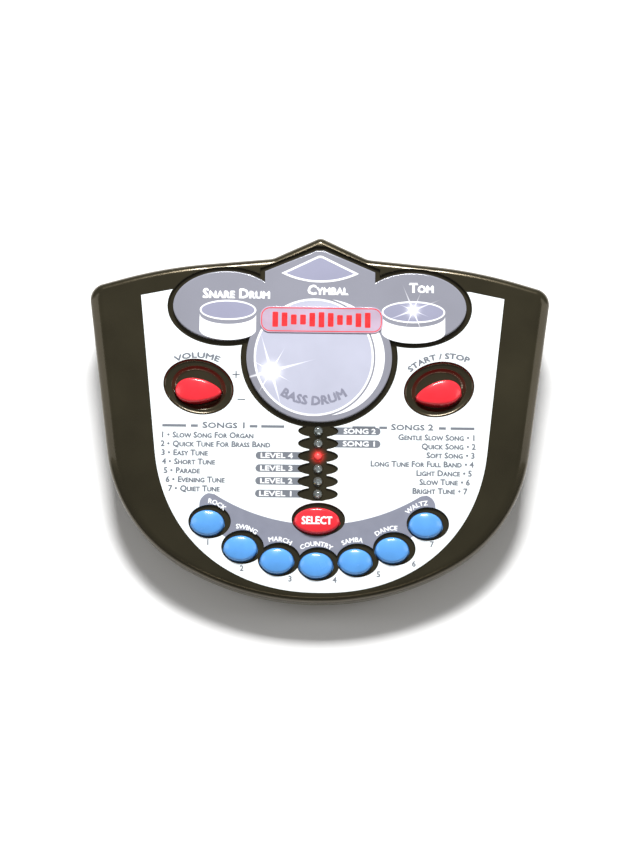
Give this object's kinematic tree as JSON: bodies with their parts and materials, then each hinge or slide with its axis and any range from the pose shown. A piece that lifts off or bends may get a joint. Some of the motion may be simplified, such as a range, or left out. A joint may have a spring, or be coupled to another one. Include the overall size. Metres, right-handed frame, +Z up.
{
  "type": "electronic drum pad",
  "caption": "Table-top electronic drum pad: bell-shaped dark console, white printed face, smoke drum window, blue and red push buttons, rocker, indicator lights.",
  "frame": {"origin": "middle of the object's box on the table surface", "axes": "+X to the player's right, +Y away from the player, +Z up"},
  "size_m": [0.25, 0.2028, 0.0522],
  "materials": {
    "casing": "polished dark brown-black moulding",
    "label": "white printed film with grey legends",
    "window": "smoke-violet translucent moulding with white printed drums",
    "badge": "red bars on a clear bar",
    "white_moulding": "white reflector moulding",
    "circuit_board": "tan paper-phenolic board",
    "drum_lamp": "clear 5 mm lamp",
    "sensor_brass": "brass disc with ceramic centre",
    "screw_steel": "zinc-plated steel",
    "chip": "moulded epoxy",
    "capacitor": "sleeved aluminium can",
    "mat_rubber": "grey silicone rubber",
    "red_key": "polished red moulding",
    "blue_key": "polished blue moulding",
    "indicator_clear": "clear epoxy lamp, unlit",
    "indicator_lit": "clear epoxy lamp, lit red",
    "speaker_metal": "pressed steel",
    "magnet": "ferrite",
    "speaker_paper": "black pressed paper",
    "cell_jacket": "plain green battery jacket",
    "contact_steel": "nickel-plated spring steel",
    "switch_body": "pressed steel slide switch",
    "switch_knob": "off-white moulding",
    "red_wire": "PVC insulation",
    "black_wire": "PVC insulation",
    "foot_rubber": "black rubber"
  },
  "bodies": {
    "console": {"upper_shell": "casing", "lower_shell": "casing", "face_label": "label", "drum_window": "window", "badge_plate": "badge", "light_box": "white_moulding", "lamp_board": "circuit_board", "main_board": "circuit_board", "side_boards": "circuit_board", "snare_lamp": "drum_lamp", "cymbal_lamp": "drum_lamp", "tom_lamp": "drum_lamp", "bass_lamp": "drum_lamp", "tap_sensors": "sensor_brass", "light_box_screws": "screw_steel", "board_screws": "screw_steel", "case_screws": "screw_steel", "speaker_clips": "screw_steel", "rocker_pin": "screw_steel", "sound_chip": "chip", "capacitors": "capacitor", "rhythm_mat": "mat_rubber", "volume_mat": "mat_rubber", "start_mat": "mat_rubber", "song_2_light": "indicator_clear", "song_1_light": "indicator_clear", "level_3_light": "indicator_clear", "level_2_light": "indicator_clear", "level_1_light": "indicator_clear", "level_4_light": "indicator_lit", "speaker_basket": "speaker_metal", "speaker_magnet": "magnet", "speaker_cone": "speaker_paper", "speaker_dust_cap": "speaker_paper", "battery_1": "cell_jacket", "battery_2": "cell_jacket", "battery_3": "cell_jacket", "battery_4": "cell_jacket", "battery_springs": "contact_steel", "contact_plates": "contact_steel", "power_switch": "switch_body", "speaker_wires": "red_wire", "battery_wires": "black_wire", "rubber_feet": "foot_rubber"},
    "volume_rocker": {"volume_rocker": "red_key"},
    "start_stop_button": {"start_stop_button": "red_key"},
    "select_button": {"select_button": "red_key"},
    "rhythm_button_1": {"rhythm_button_1": "blue_key"},
    "rhythm_button_2": {"rhythm_button_2": "blue_key"},
    "rhythm_button_3": {"rhythm_button_3": "blue_key"},
    "rhythm_button_4": {"rhythm_button_4": "blue_key"},
    "rhythm_button_5": {"rhythm_button_5": "blue_key"},
    "rhythm_button_6": {"rhythm_button_6": "blue_key"},
    "rhythm_button_7": {"rhythm_button_7": "blue_key"},
    "battery_door": {"battery_door": "casing"},
    "switch_knob": {"switch_knob": "switch_knob"}
  },
  "joints": [
    {"name": "rhythm_1_press", "type": "slide", "parent": "console", "child": "rhythm_button_1", "axis": [0, 0.1392, -0.9903], "range_m": [0, 0.0015], "stiffness_N_per_m": 300, "springref_m": -0.001},
    {"name": "rhythm_2_press", "type": "slide", "parent": "console", "child": "rhythm_button_2", "axis": [0, 0.1392, -0.9903], "range_m": [0, 0.0015], "stiffness_N_per_m": 300, "springref_m": -0.001},
    {"name": "rhythm_3_press", "type": "slide", "parent": "console", "child": "rhythm_button_3", "axis": [0, 0.1392, -0.9903], "range_m": [0, 0.0015], "stiffness_N_per_m": 300, "springref_m": -0.001},
    {"name": "rhythm_4_press", "type": "slide", "parent": "console", "child": "rhythm_button_4", "axis": [0, 0.1392, -0.9903], "range_m": [0, 0.0015], "stiffness_N_per_m": 300, "springref_m": -0.001},
    {"name": "rhythm_5_press", "type": "slide", "parent": "console", "child": "rhythm_button_5", "axis": [0, 0.1392, -0.9903], "range_m": [0, 0.0015], "stiffness_N_per_m": 300, "springref_m": -0.001},
    {"name": "rhythm_6_press", "type": "slide", "parent": "console", "child": "rhythm_button_6", "axis": [0, 0.1392, -0.9903], "range_m": [0, 0.0015], "stiffness_N_per_m": 300, "springref_m": -0.001},
    {"name": "rhythm_7_press", "type": "slide", "parent": "console", "child": "rhythm_button_7", "axis": [0, 0.1392, -0.9903], "range_m": [0, 0.0015], "stiffness_N_per_m": 300, "springref_m": -0.001},
    {"name": "select_press", "type": "slide", "parent": "console", "child": "select_button", "axis": [0, 0.1392, -0.9903], "range_m": [0, 0.0015], "stiffness_N_per_m": 300, "springref_m": -0.001},
    {"name": "start_stop_press", "type": "slide", "parent": "console", "child": "start_stop_button", "axis": [0, 0.1392, -0.9903], "range_m": [0, 0.0015], "stiffness_N_per_m": 300, "springref_m": -0.001},
    {"name": "volume_rock", "type": "hinge", "parent": "console", "child": "volume_rocker", "pos_m": [-0.0649, 0.01123, 0.03314], "axis": [0.9986, -0.0518, -0.0073], "range_deg": [-6, 6], "stiffness_Nm_per_rad": 0.05},
    {"name": "power_slide", "type": "slide", "parent": "console", "child": "switch_knob", "axis": [0.9955, 0.0934, 0.0131], "range_m": [0, 0.005]},
    {"name": "battery_door_swing", "type": "hinge", "parent": "console", "child": "battery_door", "pos_m": [0, 0.07994, 0.0035], "axis": [1, 0, 0], "range_deg": [0, 100]}
  ]
}
